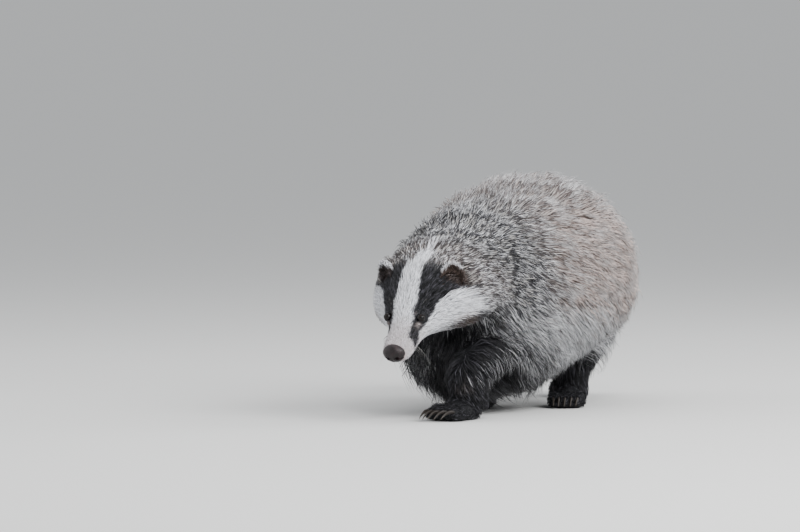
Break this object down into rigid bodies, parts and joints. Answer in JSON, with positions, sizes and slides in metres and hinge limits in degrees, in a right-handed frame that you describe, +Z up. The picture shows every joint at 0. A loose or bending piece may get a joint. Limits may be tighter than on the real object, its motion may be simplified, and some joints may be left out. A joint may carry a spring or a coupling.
{
  "type": "european badger",
  "caption": "Life-size still model of a European badger in mid-stride with its head held low, a striped face and a long grizzled coat.",
  "frame": {"origin": "on the floor, at the centre of the bounding box's bottom", "axes": "the badger faces -Y, its left side is +X and +Z is up; the spine runs along Y"},
  "size_m": [0.2832, 0.7251, 0.3188],
  "materials": {
    "coat_grey": "long grizzled fur",
    "coat_black": "short black fur",
    "coat_white": "short white fur with black stripes in the looks",
    "nose_skin": "moist bare skin",
    "eye_black": "wet gloss"
  },
  "bodies": {
    "root": {"head": "coat_white", "nose": "nose_skin", "neck": "coat_grey", "torso": "coat_grey", "tail": "coat_grey", "eye_left": "eye_black", "eye_right": "eye_black", "ear_left": "coat_black", "ear_right": "coat_black", "leg_front_left": "coat_black", "leg_front_right": "coat_black", "leg_hind_left": "coat_black", "leg_hind_right": "coat_black", "paw_front_left": "coat_black", "paw_front_right": "coat_black", "paw_hind_left": "coat_black", "paw_hind_right": "coat_black"}
  },
  "joints": []
}
